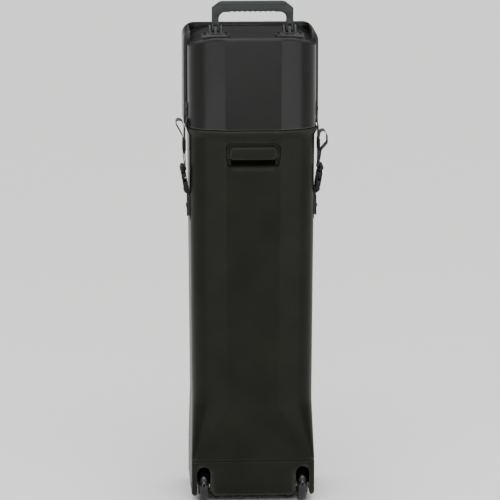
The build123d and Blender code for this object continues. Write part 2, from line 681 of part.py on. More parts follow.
def upper_webbing(side):
    """Long webbing: from the lid plate down through the buckle's head, back up and round in a loop."""
    start = LID_SIDE + WEB / 2 + 0.1
    head = [(start, 956), (start, 921), (MAIN_X, 900), (MAIN_X, 826),
            local_to_case(-7.9, 63), local_to_case(-7.9, 51.9), local_to_case(5.8, 51.9),
            local_to_case(5.8, 58.7), local_to_case(-5.8, 58.7), local_to_case(-5.8, 66)]
    radii = [12, 12, 30, 20, 2, 2, 2, 2]
    if side < 0:
        tail = [(161.4, 826), (161.4, 874), (LOOP_X, 906), (LOOP_X - 1, 916), (164, 915), (END_X, 893),
                (END_X, 836)]
        radii += [6, 20, 30, 5, 5, 8, 10]
    else:
        tail = [(162.4, 828), (164, 842), (LOOP_X, 858), (LOOP_X, 876), (172, 889), (161.5, 886),
                (END_X, 872), (END_X, 832)]
        radii += [6, 12, 10, 9, 8, 6, 6, 10]
    radii = radii[:len(head) + len(tail) - 2]
    web = sided(ribbon(head + tail, radii), side)
    return web - strap_holes(side, UPPER_RIVET_Z, (LID_SIDE - 1, LID_SIDE + 4))


def lower_webbing(side):
    """Short doubled webbing: under the body plate, up round the socket's foot and back."""
    inner, outer = PAD_X + WEB / 2 + 0.1, PAD_X + 1.5 * WEB + 0.3
    points = [(inner, 688), (inner, 735), local_to_case(-5.2, 3), local_to_case(-6.6, 7.7),
              local_to_case(6.6, 7.7), local_to_case(5.2, 1), (outer, 739), (outer, 688)]
    web = sided(ribbon(points, [20, 8, 2.2, 2.2, 5, 6]), side)
    return web - strap_holes(side, LOWER_RIVET_Z, (PAD_X - 1, PAD_X + 8))


def webbing_keeper(side):
    """Elastic band that holds the tail's end against the strap."""
    inner = MAIN_X - WEB / 2 - 0.1
    outer = (161.4 if side < 0 else END_X) + WEB / 2 + 0.1
    y = WEB_WIDTH / 2 + 0.3
    full = box((inner - KEEPER_WALL, outer + KEEPER_WALL),
               (STRAP_Y - y - KEEPER_WALL, STRAP_Y + y + KEEPER_WALL), KEEPER_Z)
    full = fillet(full.edges().filter_by(Axis.Z), 1.2)
    band = full - box((inner, outer), (STRAP_Y - y, STRAP_Y + y), (KEEPER_Z[0] - 1, KEEPER_Z[1] + 1))
    return sided(band, side)


# ---- write every piece -----------------------------------------------------------------------
def build():
    parts = {"body_shell": body_shell(), "lid_shell": lid_shell(), "handle": handle()}
    for side, name in ((-1, "left"), (1, "right")):
        parts[f"{name}_handle_bracket"] = handle_bracket(side)
        parts[f"{name}_handle_pin"] = handle_pin(side)
        parts[f"{name}_bracket_rivets"] = bracket_rivets(side)
        parts[f"{name}_backing_plate"] = backing_plate(side)
        parts[f"{name}_wheel_tyre"] = wheel_tyre(side)
        parts[f"{name}_wheel_hub"] = wheel_hub(side)
        parts[f"{name}_bearing_outer_rings"] = both_bearings(outer_ring, side)
        parts[f"{name}_bearing_inner_rings"] = both_bearings(inner_ring, side)
        parts[f"{name}_bearing_balls"] = bearing_balls(side)
        parts[f"{name}_bearing_sleeve"] = bearing_sleeve(side)
        parts[f"{name}_axle_spacers"] = axle_spacers(side)
        parts[f"{name}_axle_bolt"] = axle_bolt(side)
        parts[f"{name}_axle_insert"] = axle_insert(side)
        parts[f"{name}_foot"] = foot(side)
        parts[f"{name}_foot_screw"] = foot_screw(side)
        parts[f"{name}_buckle_socket"] = buckle_socket(side)
        parts[f"{name}_buckle_tongue"] = buckle_tongue(side)
        parts[f"{name}_upper_webbing"] = upper_webbing(side)
        parts[f"{name}_lower_webbing"] = lower_webbing(side)
        parts[f"{name}_webbing_keeper"] = webbing_keeper(side)
        upper_x = LID_SIDE + WEB + 0.2
        parts[f"{name}_upper_strap_plate"] = strap_plate(side, (925, 957), upper_x)
        parts[f"{name}_upper_strap_rivets"] = strap_rivets(side, UPPER_RIVET_Z, LID_SIDE - WALL,
                                                           upper_x + PLATE)
        lower_x = PAD_X + 2 * WEB + 0.4
        parts[f"{name}_lower_strap_plate"] = strap_plate(side, (686, 734), lower_x)
        parts[f"{name}_lower_strap_rivets"] = strap_rivets(side, LOWER_RIVET_Z, BODY_HALF - 7,
                                                           lower_x + PLATE)
    return parts


os.makedirs("parts", exist_ok=True)
for node, shape in build().items():
    export_step(shape, f"parts/{node}.step")
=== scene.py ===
import bpy, bmesh, math
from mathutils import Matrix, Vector


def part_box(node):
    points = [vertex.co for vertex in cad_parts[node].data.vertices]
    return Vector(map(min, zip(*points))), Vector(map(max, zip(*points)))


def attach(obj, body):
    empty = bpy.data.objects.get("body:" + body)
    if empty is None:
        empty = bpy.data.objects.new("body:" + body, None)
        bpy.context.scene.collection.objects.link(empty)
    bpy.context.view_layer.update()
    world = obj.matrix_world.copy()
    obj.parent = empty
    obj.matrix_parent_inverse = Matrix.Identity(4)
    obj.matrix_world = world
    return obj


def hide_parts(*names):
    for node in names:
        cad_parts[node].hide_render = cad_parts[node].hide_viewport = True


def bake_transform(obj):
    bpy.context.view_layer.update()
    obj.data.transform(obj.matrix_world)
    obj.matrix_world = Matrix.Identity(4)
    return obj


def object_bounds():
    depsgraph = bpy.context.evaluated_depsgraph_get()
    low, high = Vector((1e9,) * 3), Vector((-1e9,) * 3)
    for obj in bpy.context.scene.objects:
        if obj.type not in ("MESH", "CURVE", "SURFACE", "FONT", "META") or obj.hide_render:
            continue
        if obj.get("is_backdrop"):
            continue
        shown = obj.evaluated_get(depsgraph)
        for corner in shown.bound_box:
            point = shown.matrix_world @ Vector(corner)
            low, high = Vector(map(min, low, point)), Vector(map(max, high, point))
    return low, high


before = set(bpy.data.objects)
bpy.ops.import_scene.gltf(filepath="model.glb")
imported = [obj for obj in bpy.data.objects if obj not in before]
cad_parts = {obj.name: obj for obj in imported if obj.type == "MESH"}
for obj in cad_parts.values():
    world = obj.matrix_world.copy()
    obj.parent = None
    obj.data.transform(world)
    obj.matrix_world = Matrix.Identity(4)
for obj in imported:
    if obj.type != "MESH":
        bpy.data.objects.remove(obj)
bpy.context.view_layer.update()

# ---- viewpoint, floor and light --------------------------------------------------------------
# The case stands on a pale floor and is seen square on from a little over two metres up, through a
# long lens, turned three degrees so that its left side is the nearer. The room is bright overhead and
# dim low down. Two narrow soft boxes pick out the facets, and two wide ones light the lid.
camera = bpy.data.objects.new("camera", bpy.data.cameras.new("camera"))
bpy.context.scene.collection.objects.link(camera)
bpy.context.scene.camera = camera
camera.data.sensor_width = 36.0
camera.data.lens = 234.4
camera.data.clip_end = 60.0
turn, pitch, reach, eye_height = math.radians(3.0), math.radians(11.3), 7.625, 2.116
centring = 0.0002
camera.location = (-reach * math.sin(turn), -reach * math.cos(turn), eye_height)
camera.rotation_euler = (math.radians(90) - pitch, 0.0, -turn + centring)

far = 30.0
floor_mesh = bpy.data.meshes.new("floor")
sheet = [(-far, -far, 0), (far, -far, 0), (far, far, 0), (-far, far, 0)]
floor_mesh.from_pydata(sheet, [], [(0, 1, 2, 3)])
floor = bpy.data.objects.new("floor", floor_mesh)
bpy.context.scene.collection.objects.link(floor)
paper = bpy.data.materials.new("pale_floor")
paper.use_nodes = True
matt = paper.node_tree.nodes["Principled BSDF"]
matt.inputs["Base Color"].default_value = (0.93, 0.93, 0.925, 1)
matt.inputs["Roughness"].default_value = 0.9
floor_mesh.materials.append(paper)
floor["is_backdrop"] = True

world = bpy.data.worlds.new("studio")
bpy.context.scene.world = world
world.use_nodes = True
sky = world.node_tree
sky.nodes["Background"].inputs["Color"].default_value = (1, 1, 0.995, 1)
height = sky.nodes.new("ShaderNodeSeparateXYZ")
sky.links.new(sky.nodes.new("ShaderNodeTexCoord").outputs["Generated"], height.inputs["Vector"])
fade = sky.nodes.new("ShaderNodeMapRange")
fade.inputs["From Min"].default_value, fade.inputs["From Max"].default_value = 0.3, 0.85
fade.inputs["To Min"].default_value, fade.inputs["To Max"].default_value = 0.07, 2.05
sky.links.new(height.outputs["Z"], fade.inputs["Value"])
sky.links.new(fade.outputs["Result"], sky.nodes["Background"].inputs["Strength"])

for name, spot, aim, size, power in (
        ("strip_left", (-1.39, -2.20, 0.60), (0, 0, 0.60), (0.26, 1.1), 7),
        ("strip_right", (1.61, -2.04, 0.60), (0, 0, 0.60), (0.26, 1.1), 8),
        ("box_front", (0.0, -2.3, 1.35), (0, -0.1, 1.0), (1.3, 0.5), 16),
        ("box_high", (0.0, -1.3, 3.0), (0, -0.05, 1.0), (1.8, 0.5), 16)):
    light = bpy.data.lights.new(name, "AREA")
    light.shape = "RECTANGLE"
    light.size, light.size_y = size
    light.energy = power
    lamp = bpy.data.objects.new(name, light)
    lamp.location = spot
    lamp.rotation_euler = (Vector(aim) - Vector(spot)).to_track_quat("-Z", "Y").to_euler()
    bpy.context.scene.collection.objects.link(lamp)


# ---- body shell ------------------------------------------------------------------------------
# One hollow polyethylene moulding, five millimetres thick, cooked in a mould with a pebbled
# lining, so every outer face carries a fine leathery grain and the corners are soft. The grab
# recess, the wheel wells and the neck for the lid are part of the same moulding.
def show(name, verts, faces):
    """Puts a mesh into the scene as an object."""
    mesh = bpy.data.meshes.new(name)
    mesh.from_pydata([tuple(v) for v in verts], [], faces)
    mesh.update()
    obj = bpy.data.objects.new(name, mesh)
    bpy.context.scene.collection.objects.link(obj)
    return obj


def skin(rings):
    """Closed surface through a stack of rings, with a face over each end."""
    n = len(rings[0])
    verts = [p for ring in rings for p in ring]
    faces = []
    for k in range(len(rings) - 1):
        a, b = k * n, (k + 1) * n
        faces += [(a + i, a + (i + 1) % n, b + (i + 1) % n, b + i) for i in range(n)]
    faces.append(tuple(range(n))[::-1])
    faces.append(tuple(range((len(rings) - 1) * n, len(rings) * n)))
    return verts, faces


def clean(mesh):
    """Drops edges that have no length and turns every face outwards."""
    work = bmesh.new()
    work.from_mesh(mesh)
    bmesh.ops.dissolve_degenerate(work, dist=0.000002, edges=work.edges)
    bmesh.ops.recalc_face_normals(work, faces=work.faces)
    work.to_mesh(mesh)
    work.free()


def smooth(mesh, degrees):
    """Shades smooth, with sharp edges where faces meet at more than so many degrees."""
    for p in mesh.polygons:
        p.use_smooth = True
    mesh.set_sharp_from_angle(angle=math.radians(degrees))


def carve(obj, rings, mode="DIFFERENCE"):
    """Cuts the solid through a stack of rings out of obj, or joins it on."""
    tool = show("tool", *skin(rings))
    for o in (obj, tool):
        clean(o.data)
    cut = obj.modifiers.new("cut", "BOOLEAN")
    cut.operation, cut.object, cut.solver = mode, tool, "EXACT"
    bpy.context.view_layer.update()
    done = bpy.data.meshes.new_from_object(obj.evaluated_get(bpy.context.evaluated_depsgraph_get()))
    obj.modifiers.clear()
    obj.data = done
    bpy.data.objects.remove(tool)


def coat(obj, material, degrees):
    """Finishes a moulding: clean mesh, smooth shading and its one material."""
    clean(obj.data)
    smooth(obj.data, degrees)
    obj.data.materials.clear()
    obj.data.materials.append(material)


def middle(node):
    """Middle of a node's box in the frame, to a tenth of a millimetre."""
    low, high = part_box(node)
    return [round((a + b) / 2, 4) for a, b in zip(low, high)]


def corner(cx, cy, r, start, end, steps):
    """Points round an arc from one angle up to another, without its last point."""
    return [(cx + r * math.cos(math.radians(start + (end - start) * i / steps)),
             cy + r * math.sin(math.radians(start + (end - start) * i / steps))) for i in range(steps)]


foot_half, shoulder_half, wall = 0.1432, 0.1477, 0.005


def plan(z, grow=0.0, half=shoulder_half, front=0.118, facet=17.65, rise=0.014, side_r=0.057,
         front_r=0.02, edge_r=0.014, rear=-0.121):
    """Outline of the case at one height: flat rear, facets, round shoulders, square front."""
    f = math.radians(facet)
    cx, cy = half - side_r, rear + rise + side_r * math.cos(f)
    r = side_r + grow
    facet_end = (cx + r * math.sin(f), cy - r * math.cos(f))
    corner_x = facet_end[0] - (facet_end[1] - rear + grow) / math.tan(f)
    t = edge_r * math.tan(f / 2)
    run = [((corner_x - t) * i / 4, rear - grow) for i in range(4)]
    run += corner(corner_x - t, rear - grow + edge_r, edge_r, -90, -90 + facet, 4)
    start = (corner_x + t * math.cos(f), rear - grow + t * math.sin(f))
    run += [(start[0] + (facet_end[0] - start[0]) * i / 3, start[1] + (facet_end[1] - start[1]) * i / 3)
            for i in range(3)]
    run += corner(cx, cy, r, facet - 90, 0, 12)
    fx, fy = half - front_r, front - front_r
    run += [(half + grow, cy + (fy - cy) * i / 8) for i in range(8)]
    run += corner(fx, fy, front_r + grow, 0, 90, 8)
    run += [(fx * (1 - i / 6), front + grow) for i in range(6)]
    run.append((0.0, front + grow))
    run += [(-x, y) for x, y in reversed(run[1:-1])]
    return [(x, y, z) for x, y in run]


def square(z, grow=0.0):
    """Outline of the base, whose facets are almost flat."""
    return plan(z, grow, half=0.1467, front=0.126, facet=1.0, rise=0.0002, side_r=0.012, front_r=0.012,
                edge_r=0.3)


def between(ring_a, ring_b, t, z):
    """Outline a share t of the way from one ring to another."""
    return [(a[0] + (b[0] - a[0]) * t, a[1] + (b[1] - a[1]) * t, z) for a, b in zip(ring_a, ring_b)]


def upright(outline, y):
    """Outline in x and z, stood up at one depth."""
    return [(x, y, z) for x, z in outline]


def rounded(x0, x1, z0, z1, r, steps=6):
    """Rectangle with round corners."""
    return (corner(x1 - r, z0 + r, r, -90, 0, steps) + corner(x1 - r, z1 - r, r, 0, 90, steps)
            + corner(x0 + r, z1 - r, r, 90, 180, steps) + corner(x0 + r, z0 + r, r, 180, 270, steps))


def begin(name):
    """New material, with its nodes, its shader and the place on the piece in metres."""
    mat = bpy.data.materials.new(name)
    mat.use_nodes = True
    tree = mat.node_tree
    return mat, tree, tree.nodes["Principled BSDF"], tree.nodes.new("ShaderNodeTexCoord").outputs["Object"]


def noise(tree, where, scale, detail):
    """Cloudy pattern, finer with a higher scale."""
    made = tree.nodes.new("ShaderNodeTexNoise")
    made.inputs["Scale"].default_value = scale
    made.inputs["Detail"].default_value = detail
    tree.links.new(where, made.inputs["Vector"])
    return made.outputs["Fac"]


def tinted(tree, amount, low, high, dark, light):
    """Colour that goes from dark to light while amount goes from low to high."""
    ramp = tree.nodes.new("ShaderNodeValToRGB")
    first, last = ramp.color_ramp.elements
    first.position, last.position = low, high
    first.color, last.color = (*dark, 1), (*light, 1)
    tree.links.new(amount, ramp.inputs["Fac"])
    return ramp.outputs["Color"]


def dulled(tree, shader, amount, least, most):
    """Roughness that goes from least to most with amount."""
    made = tree.nodes.new("ShaderNodeMapRange")
    made.inputs["To Min"].default_value, made.inputs["To Max"].default_value = least, most
    tree.links.new(amount, made.inputs["Value"])
    tree.links.new(made.outputs["Result"], shader.inputs["Roughness"])


def bumped(tree, shader, relief, strength, depth):
    """Fine relief, so many metres deep."""
    bump = tree.nodes.new("ShaderNodeBump")
    bump.inputs["Strength"].default_value = strength
    bump.inputs["Distance"].default_value = depth
    tree.links.new(relief, bump.inputs["Height"])
    tree.links.new(bump.outputs["Normal"], shader.inputs["Normal"])


def grained(name, colour, spread, rough, grain, depth, gloss=0.22, edge_wear_and_highlight=None, edge_wear_and_highlight_share=0.0):
    """Moulded or coated surface: mottled colour, pebbled grain of a real size, convex edges lightened both
    as rubbed wear and as a painted edge highlight.
    """
    mat, tree, shader, where = begin(name)
    shader.inputs["Specular IOR Level"].default_value = gloss
    patches = noise(tree, where, 9.0, 5.0)
    surface = tinted(tree, patches, 0.3, 0.72, [c * (1 - spread) for c in colour],
                     [c * (1 + spread) for c in colour])
    if edge_wear_and_highlight:
        # lighter colour on convex edges: partly rubbed wear, partly a painted highlight where light
        # catches beads, rims and edges
        edges = tree.nodes.new("ShaderNodeNewGeometry").outputs["Pointiness"]
        edge_wear_and_highlight_mix = tree.nodes.new("ShaderNodeMix")
        edge_wear_and_highlight_mix.data_type = "RGBA"
        rubbed_and_lit_edges = tinted(tree, edges, 0.511, 0.545, (0, 0, 0), (edge_wear_and_highlight_share, edge_wear_and_highlight_share, edge_wear_and_highlight_share))
        tree.links.new(rubbed_and_lit_edges, edge_wear_and_highlight_mix.inputs["Factor"])
        tree.links.new(surface, edge_wear_and_highlight_mix.inputs["A"])
        edge_wear_and_highlight_mix.inputs["B"].default_value = (*edge_wear_and_highlight, 1)
        surface = edge_wear_and_highlight_mix.outputs["Result"]
    tree.links.new(surface, shader.inputs["Base Color"])
    dulled(tree, shader, patches, rough - 0.06, rough + 0.08)
    pebbles = tree.nodes.new("ShaderNodeTexVoronoi")
    pebbles.feature = "SMOOTH_F1"
    pebbles.inputs["Scale"].default_value = 1.0 / grain
    tree.links.new(where, pebbles.inputs["Vector"])
    both = tree.nodes.new("ShaderNodeMath")
    both.operation = "MULTIPLY_ADD"
    both.inputs[1].default_value = 0.6
    tree.links.new(noise(tree, where, 2.2 / grain, 3.0), both.inputs[0])
    tree.links.new(pebbles.outputs["Distance"], both.inputs[2])
    bumped(tree, shader, both.outputs["Value"], 1.0, depth)
    return mat


# Same plastic as the lid. This copy is paler and less glossy than the lid's so that the shaded grab recess
# reads lighter, which is painted light; its edge colour also paints a highlight along the bead.
body_black_toned_for_light = grained("pebbled_polyethylene", (0.0092, 0.0095, 0.0070), 0.25, 0.36, 0.0016, 0.00010,
                      gloss=0.09, edge_wear_and_highlight=(0.050, 0.050, 0.044), edge_wear_and_highlight_share=0.4)

# from the underside of the base up the outside, over the top of the neck and down the inside
flare_low, flare_high, draft_high, inner_floor = 0.1055, 0.243, 0.878, 0.0995
neck_in, neck_inner = -0.0034, -0.008
rings = [square(z, grow) for z, grow in (
    (0.0186, -0.006), (0.0192, -0.003), (0.0212, -0.0008), (0.0246, 0.0), (0.0265, 0.0), (0.0285, 0.0),
    (0.04, 0.0), (0.06, 0.0), (0.08, 0.0), (0.0965, 0.0), (0.0985, 0.0), (0.1000, 0.0), (0.1018, -0.0004),
    (0.1030, -0.0017), (0.1040, -0.0017), (0.1052, -0.0004), (0.1068, 0.0), (0.1085, 0.0))]
for i in range(1, 12):
    z = flare_low + (flare_high - flare_low) * i / 12
    rings.append(between(square(0), plan(0, half=foot_half), i / 12, z))
for i in range(17):
    z = flare_high + (draft_high - flare_high) * i / 16
    rings.append(plan(z, half=foot_half + (shoulder_half - foot_half) * i / 16))
rings += [plan(z, grow) for z, grow in (
    (0.8825, 0.0006), (0.8865, 0.0026), (0.8905, 0.0052), (0.894, 0.0064), (0.8955, 0.0068),
    (0.8978, 0.0065), (0.8992, 0.0056), (0.8998, 0.0040), (0.9, 0.002), (0.9, -0.0024),
    (0.9008, neck_in), (0.94, neck_in), (1.0, neck_in), (1.04, neck_in), (1.0775, neck_in),
    (1.0795, -0.0042), (1.08, -0.0055), (1.0795, -0.0070), (1.0775, neck_inner), (1.0, neck_inner),
    (0.9, neck_inner), (0.883, -wall))]
rings += [plan(0.56, -wall, half=(foot_half + shoulder_half) / 2), plan(flare_high, -wall, half=foot_half)]
rings += [between(square(0, -wall), plan(0, -wall, half=foot_half), t,
                  inner_floor + (flare_high - inner_floor) * t) for t in (0.66, 0.33, 0.0)]
body = show("case_body_shell", *skin(rings))

# the hollow base, wide in front of the wheels and narrow between them
for half, rear in ((0.076, -0.116), (0.1417, -0.041)):
    outline = rounded(-half, half, rear, 0.121, 0.006)
    carve(body, [[(x, y, z) for x, y in outline] for z in (0.0236, 0.11)])

# the stiffening ribs down the flat front, and the pads for the lower strap plates
rib_z = 0.56
for x in (-0.084, 0.0, 0.084):
    carve(body, [upright(rounded(x - w, x + w, rib_z - h, rib_z + h, r), y) for y, w, h, r in (
        (0.116, 0.021, 0.292, 0.016), (0.1185, 0.0195, 0.2905, 0.0145), (0.1203, 0.018, 0.289, 0.013),
        (0.121, 0.0165, 0.2875, 0.0115))], "UNION")
strap_y, pad_z = middle("left_lower_strap_plate")[1:]
for side in (-1, 1):
    carve(body, [[(side * x, strap_y + y, z) for y, z in rounded(-w, w, pad_z - h, pad_z + h, 0.004, 4)]
                 for x, w, h in ((0.1447, 0.024, 0.033), (0.1470, 0.0232, 0.0322),
                                 (0.1473, 0.0225, 0.0315))], "UNION")

# grab recess: blocks behind it first, then the groove, its rim and the scoop, all cut from outside
# the rear face, then the finger room above the scoop, and the lip last
outside = -0.140
for w, low, high, deep in ((0.069, 0.810, 0.875, -0.110), (0.057, 0.806, 0.861, -0.088)):
    carve(body, [upright(rounded(-w, w, low, high, 0.004), y) for y in (-0.118, deep)], "UNION")
groove = []
for z, w, back in ((0.822, 0.0580, -0.1226), (0.8245, 0.0615, -0.1215), (0.830, 0.0632, -0.1194),
                   (0.836, 0.0640, -0.1172), (0.841, 0.0640, -0.1154), (0.846, 0.0640, -0.1150),
                   (0.856, 0.0640, -0.1150), (0.8598, 0.0633, -0.1150), (0.8636, 0.0611, -0.1150),
                   (0.8668, 0.0578, -0.1150), (0.8690, 0.0538, -0.1150), (0.8700, 0.0500, -0.1150)):
    edge = [(w + 0.0016, outside), (w + 0.0016, min(-0.1213, back - 0.0038)),
            (w + 0.0010, min(-0.1206, back - 0.0033)), (w + 0.0003, min(-0.1198, back - 0.0027)),
            (w, min(-0.1188, back - 0.0021)), (w, back - 0.0015), (w - 0.0015, back)]
    groove.append([(x, y, z) for x, y in edge + [(-x, y) for x, y in reversed(edge)]])
carve(body, groove)
carve(body, [upright(rounded(-0.064 - g, 0.064 + g, 0.8395 - g, 0.8700 + g, 0.014 + g), y) for y, g in (
    (outside, 0.0018), (-0.1213, 0.0018), (-0.1206, 0.0011), (-0.1198, 0.0004), (-0.1188, 0.0))])
scoop_top, scoop_brow, scoop_back = 0.834, 0.8245, -0.1125
scoop = []
for x, share in ((-0.0625, 0.0), (-0.061, 0.35), (-0.058, 0.7), (-0.054, 0.92), (-0.048, 1.0),
                 (0.048, 1.0), (0.054, 0.92), (0.058, 0.7), (0.061, 0.35), (0.0625, 0.0)):
    fall = [(y, scoop_brow - share * (scoop_brow - z)) for y, z in (
        (outside, 0.8085), (-0.1215, 0.8092), (-0.1203, 0.8106), (-0.118, 0.8133), (-0.1152, 0.8156),
        (scoop_back, 0.8171))]
    scoop.append([(x, y, z) for y, z in [(outside, scoop_top)] + fall + [(scoop_back, scoop_top)]])
carve(body, scoop)
room = [(-0.1135, 0.8167), (-0.100, 0.8216), (-0.0955, 0.8236), (-0.0937, 0.8257), (-0.093, 0.829),
        (-0.093, 0.851), (-0.095, 0.8548), (-0.099, 0.856), (-0.1135, 0.856)]
carve(body, [[(x, y, z) for y, z in room] for x in (-0.052, 0.052)])


def pill(inset):
    """Outline of the lip, drawn in by inset."""
    w, low, high = 0.055 - inset, 0.8312 + inset * 0.7, 0.861 - inset
    a, b = 0.0082 - inset * 0.4, 0.0100 - inset * 0.4
    return (corner(w - a, low + a, a, -90, 0, 8) + corner(w - b, high - b, b, 0, 90, 8)
            + corner(b - w, high - b, b, 90, 180, 8) + corner(a - w, low + a, a, 180, 270, 8))


carve(body, [upright(pill(inset), y) for y, inset in (
    (-0.1120, 0.0), (-0.1185, 0.0), (-0.1202, 0.0004), (-0.1213, 0.0013), (-0.1220, 0.0028),
    (-0.1224, 0.0050), (-0.1226, 0.0080))], "UNION")

# wheel wells: arched slots, bevelled where they run out underneath, each with a counterbored hole
# for the bolt on its outer side and a hole for the brass insert on its inner side
wheel_x, axle_y, axle_z = middle("right_wheel_tyre")
well_half, arch_z, inner_bevel, outer_bevel = 0.016, 0.074, 0.0110, 0.0045
low, high = wheel_x - well_half, wheel_x + well_half


def bore(side, stations):
    """Round hole along the axle, given as places across the case with a radius at each."""
    return [[(side * x, axle_y + r * math.cos(math.radians(a)), axle_z + r * math.sin(math.radians(a)))
             for a in range(0, 360, 12)] for x, r in stations]


for side in (-1, 1):
    arch = [(low - inner_bevel, 0.0), (low - inner_bevel, 0.0175), (low - 0.0099, 0.0188), (low, 0.0338),
            (low, 0.05), (low, arch_z)]
    arch += [(wheel_x - well_half * math.cos(math.radians(a)),
              arch_z + well_half * math.sin(math.radians(a))) for a in range(15, 180, 15)]
    arch += [(high, arch_z), (high, 0.05), (high, 0.0255), (high + 0.0035, 0.0187),
             (high + outer_bevel, 0.0175), (high + outer_bevel, 0.0)]
    carve(body, [[(side * x, y, z) for x, z in arch] for y in (outside, -0.046)])
    carve(body, bore(side, ((0.133, 0.00415), (0.1402, 0.00415), (0.1402, 0.009), (0.1458, 0.009),
                            (0.1469, 0.0098), (0.150, 0.0098))))
    carve(body, bore(side, ((0.0820, 0.007), (0.103, 0.007))))
coat(body, body_black_toned_for_light, 28)
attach(body, "case_body")
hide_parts("body_shell")

# ---- lid shell -------------------------------------------------------------------------------
# A second moulding of the same black polyethylene that drops over the neck. Its square front part
# carries a raised rim round a sunk deck, and the rear part is rounded like the body below.
# Same plastic as the body. The lid's copy is darker than the body's to darken the sunk deck, which is
# painted shade; its stronger edge colour paints a highlight along the rim and the dome's top edge, besides
# rubbed wear.
lid_black_toned_for_light = grained("pebbled_polyethylene_lid", (0.0050, 0.0051, 0.0048), 0.25, 0.32, 0.0016, 0.00008,
                    edge_wear_and_highlight=(0.070, 0.072, 0.070), edge_wear_and_highlight_share=0.7)
lid_low, lid_high = [[round(v, 4) for v in end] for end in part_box("lid_shell")]
slab_half, slab_front, rim_top, mouth_z = lid_high[0], lid_high[1], lid_high[2], lid_low[2]
deck_flat, deck_r, deck_z = 0.075, 0.150, round(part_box("left_handle_bracket")[0].z, 4)
ceiling_z = round(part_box("left_backing_plate")[1].z, 4)


def drop(x):
    """How far the crowned deck has fallen below its flat middle."""
    past = max(abs(x) - deck_flat, 0.0)
    return deck_r - math.sqrt(deck_r * deck_r - past * past)


def domed(grow, top, bottom, soft):
    """Rings of the lid's rounded part, with straight walls and a crowned top."""
    stack = [plan(bottom, grow - 0.0006)]
    stack += [plan(bottom + up, grow) for up in (0.0006, 0.002, 0.004, 0.006)]
    for share in (0.11, 0.22, 0.33, 0.44, 0.55, 0.66, 0.77, 0.88, 0.96, 0.975, 0.988, 1.0):
        stack.append([(x, y, bottom + (top - soft - drop(x) - bottom) * share)
                      for x, y, z in plan(0, grow)])
    for k in range(1, 7):
        a = math.radians(15 * k)
        stack.append([(x, y, top - soft * (1 - math.sin(a)) - drop(x))
                      for x, y, z in plan(0, grow - soft * (1 - math.cos(a)))])
    for inset in (0.010, 0.016, 0.024, 0.034, 0.046):
        stack.append([(x, y, top - drop(x)) for x, y, z in plan(0, grow - inset)])
    for share in (0.85, 0.7, 0.5, 0.25, 0.04):
        stack.append([(x * share, y * share, top - drop(x * share)) for x, y, z in plan(0, grow - 0.046)])
    return stack


lid = show("case_lid_shell", *skin(domed(0.0031, deck_z, mouth_z, 0.006)))


def slab(y, inset, low, half=slab_half, top=rim_top, r=0.029):
    """Outline of the square front slab, rounded at its two top corners."""
    w, h, c = half - inset, top - inset, r - inset
    right = corner(w - c, h - c, c, 0, 90, 10)
    run = [(w - 0.0006, low), (w, low + 0.0006), (w, low + 0.003), (w, low + 0.05), (w, low + 0.1)]
    run += right + [(w - c, h), (w / 2, h)]
    return upright(run + [(0.0, h)] + [(-x, z) for x, z in reversed(run)], y)


# the slab with its soft front edge, a hair above the rounded part's mouth so that no faces coincide
soft_edge = 0.009
edges = [(-0.0160, 0.004), (-0.0157, 0.0025), (-0.0148, 0.0012), (-0.0135, 0.0003), (-0.012, 0.0)]
edges += [(y, 0.0) for y in (0.02, 0.07, 0.119)]
edges += [(0.119 + soft_edge * math.sin(math.radians(a)), soft_edge * (1 - math.cos(math.radians(a))))
          for a in range(15, 91, 15)]
edges += [(slab_front, 0.0105)]
carve(lid, [slab(y, inset, mouth_z + 0.00004 + max(inset - soft_edge, 0)) for y, inset in edges], "UNION")

# the sunk deck: first its opening inside the rim, then the crown with a fillet up to the rim
rim_inner, rim_front, corner_r = 0.1438, 0.1125, 0.018
deck = []
for z, grow in ((1.1205, 0.0), (1.1235, 0.0004), (1.1254, 0.0016), (1.1264, 0.0032), (1.150, 0.0034)):
    w, d = rim_inner + grow, rim_front + grow
    outline = [(w, -0.08)] + corner(w - corner_r, d - corner_r, corner_r, 0, 90, 8)
    outline += [(w - corner_r, d), (0, d), (corner_r - w, d)]
    outline += corner(corner_r - w, d - corner_r, corner_r, 90, 180, 8) + [(-w, d - corner_r), (-w, -0.08)]
    deck.append([(x, y, z) for x, y in outline])
carve(lid, deck)
fillet = 0.003
crown = []
for y, clear in ((-0.080, 0.00015), (-0.0164, 0.00015), (-0.0157, 0.0), (0.020, 0.0), (0.060, 0.0),
                 (0.0943, 0.0), (0.0990, 0.0), (0.1034, 0.0), (0.1070, 0.0), (0.1098, 0.0), (0.1116, 0.0),
                 (0.1123, 0.0)):
    w = 0.1257 + math.sqrt(corner_r ** 2 - max(y - 0.0944, 0.0) ** 2)
    run = []
    for share in (0.0, 0.2, 0.4, 0.52, 0.6, 0.67, 0.74, 0.81, 0.88, 0.94, 0.979, 0.99, 0.9965, 1.0):
        over = max(share * w - w + fillet, 0.0)
        run.append((share * w, deck_z - drop(share * w) + clear + fillet
                    - math.sqrt(fillet ** 2 - over ** 2)))
    run = [(-x, z) for x, z in reversed(run[1:])] + run + [(w, 1.1214), (-w, 1.1214)]
    crown.append(upright(run, y))
carve(lid, crown)

